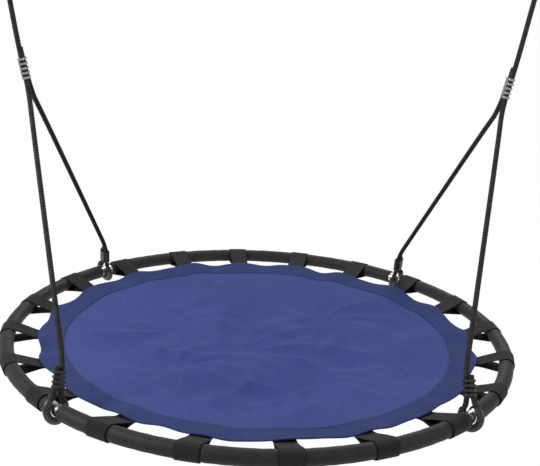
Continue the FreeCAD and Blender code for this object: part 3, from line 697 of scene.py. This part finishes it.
def strap_line(lift_top, lift_bottom):
    """Middle line of a strap in the plane of the ring's section: (distance from the axis, height)."""
    edge = MAT_R + 0.002
    below = MAT_THICK + BAND_RISE + 0.0006 + STRAP_THICK / 2

    def mat_under(radius):
        return MAT_EDGE_Z - MAT_SAG + DISH_R - math.sqrt(DISH_R ** 2 - radius ** 2) - below

    tip_top = np.array([edge, mat_under(edge)])
    tip_bottom = tip_top - (0, STRAP_THICK)
    centre = np.array([RING_R, RING_Z])

    def touch(tip, way):
        away = tip - centre
        reach = np.hypot(*away)
        return math.atan2(away[1], away[0]) + way * math.acos(WRAP_R / reach)

    top_angle = touch(tip_top, -1)
    bottom_angle = touch(tip_bottom, 1)
    line = [(radius, mat_under(radius)) for radius in np.linspace(edge - TAIL_LENGTH, edge - 0.003, 12)]
    on_top = centre + WRAP_R * np.array([math.cos(top_angle), math.sin(top_angle)])
    for share in np.linspace(0, 1, 12)[1:-1]:
        spot = tip_top + (on_top - tip_top) * share
        line.append((spot[0], spot[1] + lift_top * math.sin(math.pi * share)))
    sweep = (bottom_angle - top_angle) % (2 * math.pi) - 2 * math.pi
    for share in np.linspace(0, 1, 34):
        angle = top_angle + sweep * share
        line.append(tuple(centre + WRAP_R * np.array([math.cos(angle), math.sin(angle)])))
    on_bottom = np.array(line[-1])
    for share in np.linspace(0, 1, 12)[1:-1]:
        spot = on_bottom + (tip_bottom - on_bottom) * share
        line.append((spot[0], spot[1] - lift_bottom * math.sin(math.pi * share)))
    line += [(radius, mat_under(radius) - STRAP_THICK - 0.0001)
             for radius in np.linspace(edge - 0.003, edge - TAIL_LENGTH, 12)]
    return np.array(line)


def strap(number):
    """Ribbed webbing band. Each differs a little in skew, slack and how its ribs bunch."""
    picks = np.random.default_rng(100 + number)
    skew = picks.uniform(-0.05, 0.05)
    line = strap_line(picks.uniform(-0.0008, 0.0006), picks.uniform(-0.0008, 0.0006))
    padded_line = np.stack([line[:, 0], np.zeros(len(line)), line[:, 1]], axis=1)
    line3, marks = resample(padded_line, 0.0012)
    ahead = np.gradient(line3, axis=0)
    ahead /= np.linalg.norm(ahead, axis=1)[:, None]
    out = np.cross(ahead, (0, 1, 0))
    columns = 57
    across = np.linspace(-0.5, 0.5, columns)
    rows = len(line3)
    near_ring = np.clip((line3[:, 0] - MAT_R) / (RING_R - MAT_R), 0, 1.3)
    width = STRAP_WIDTH * (0.955 + 0.045 * np.sin(near_ring * math.pi / 2) ** 2)
    ribs = 0.00022 * np.abs(np.cos(across * 14 * math.pi)) ** 0.7
    bunch = 0.0005 * picks.uniform(0.3, 1.0) * np.sin(across * 2 * math.pi * 2.5 + picks.uniform(0, 6))
    free = np.exp(-((near_ring - 0.55) / 0.25) ** 2)
    thin = np.where(np.abs(across) > 0.485, 0.25, 1.0)
    thickness = STRAP_THICK * 0.42 * thin
    sway = skew * (line3[:, 0] - MAT_R)
    points = []
    for way in (1, -1):
        offset = way * (thickness + ribs)[None, :] + free[:, None] * bunch[None, :]
        face = line3[:, None, :] + out[:, None, :] * offset[..., None]
        face[..., 1] += (width[:, None] * across[None, :]) + sway[:, None]
        points.append(face if way == 1 else face[:, ::-1])
    section = np.concatenate(points, axis=1)
    heading = STRAP_FIRST + (number - 1) * STRAP_STEP
    turned = section.copy()
    turned[..., 0] = section[..., 0] * math.cos(heading) - section[..., 1] * math.sin(heading)
    turned[..., 1] = section[..., 0] * math.sin(heading) + section[..., 1] * math.cos(heading)
    around = 2 * columns
    caps = [list(range(around)), list(range((rows - 1) * around, rows * around))[::-1]]
    quads = grid_faces(rows, around, wrap_columns=True)[:, ::-1]
    band_item = mesh_object(f"webbing_{number:02d}", turned, quads, caps)
    layer = band_item.data.uv_layers.new(name="strap")
    mark = np.repeat(marks, around)
    place = np.tile(np.concatenate([across, across[::-1]]) * STRAP_WIDTH, rows)
    loops = np.empty(len(band_item.data.loops), dtype=np.int32)
    band_item.data.loops.foreach_get("vertex_index", loops)
    layer.data.foreach_set("uv", np.stack([mark[loops], place[loops]], axis=1).ravel())
    band_item.data.materials.append(WEBBING)
    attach(band_item, "seat")
    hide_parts(f"strap_{number:02d}")


for number in range(1, STRAP_COUNT + 1):
    strap(number)


# ------------------------------------------------------------------ floor, light and background
FLOOR_DROP = 0.75


def add_stage():
    """Pale floor well below the seat. To the camera and in reflections it is white, apart from the shadow."""
    bpy.ops.mesh.primitive_plane_add(size=600, location=(0, 0, RING_Z - FLOOR_DROP))
    floor = bpy.context.object
    floor.name = "floor"
    material = bpy.data.materials.new("floor_white")
    material.use_nodes = True
    tree = material.node_tree
    tree.nodes.clear()
    output = tree.nodes.new("ShaderNodeOutputMaterial")
    mix = tree.nodes.new("ShaderNodeMixShader")
    paint = tree.nodes.new("ShaderNodeBsdfDiffuse")
    paint.inputs["Color"].default_value = (0.9, 0.9, 0.9, 1)
    glow = tree.nodes.new("ShaderNodeEmission")
    path = tree.nodes.new("ShaderNodeLightPath")
    seen = tree.nodes.new("ShaderNodeMath")
    seen.operation = "MAXIMUM"
    part = tree.nodes.new("ShaderNodeMath")
    part.operation = "MULTIPLY"
    part.inputs[1].default_value = 0.97
    tree.links.new(path.outputs["Is Camera Ray"], seen.inputs[0])
    tree.links.new(path.outputs["Is Glossy Ray"], seen.inputs[1])
    tree.links.new(seen.outputs[0], part.inputs[0])
    tree.links.new(part.outputs[0], mix.inputs[0])
    tree.links.new(paint.outputs[0], mix.inputs[1])
    tree.links.new(glow.outputs[0], mix.inputs[2])
    tree.links.new(mix.outputs[0], output.inputs[0])
    floor.data.materials.append(material)


def add_world():
    world = bpy.data.worlds.new("studio")
    bpy.context.scene.world = world
    world.use_nodes = True
    tree = world.node_tree
    tree.nodes.clear()
    output = tree.nodes.new("ShaderNodeOutputWorld")
    mix = tree.nodes.new("ShaderNodeMixShader")
    room = tree.nodes.new("ShaderNodeBackground")
    room.inputs["Strength"].default_value = 0.5
    white = tree.nodes.new("ShaderNodeBackground")
    white.inputs["Color"].default_value = (1, 1, 1, 1)
    room.inputs["Color"].default_value = (1, 1, 1, 1)
    path = tree.nodes.new("ShaderNodeLightPath")
    tree.links.new(path.outputs["Is Camera Ray"], mix.inputs[0])
    tree.links.new(room.outputs[0], mix.inputs[1])
    tree.links.new(white.outputs[0], mix.inputs[2])
    tree.links.new(mix.outputs[0], output.inputs[0])


def add_area(name, place, aim, width, power):
    data = bpy.data.lights.new(name, "AREA")
    data.size = width
    data.energy = power
    lamp = bpy.data.objects.new(name, data)
    bpy.context.scene.collection.objects.link(lamp)
    lamp.location = place
    lamp.rotation_euler = (Vector(aim) - Vector(place)).to_track_quat("-Z", "Y").to_euler()


add_stage()
add_world()
add_area("key", (-2.2, -0.6, 1.0), RING_CENTRE, 0.9, 62)
add_area("fill", (2.4, -1.2, 0.6), RING_CENTRE, 1.6, 18)
add_area("back", (0.6, 2.4, 1.2), RING_CENTRE, 1.6, 30)
bpy.context.scene.view_settings.view_transform = "Standard"
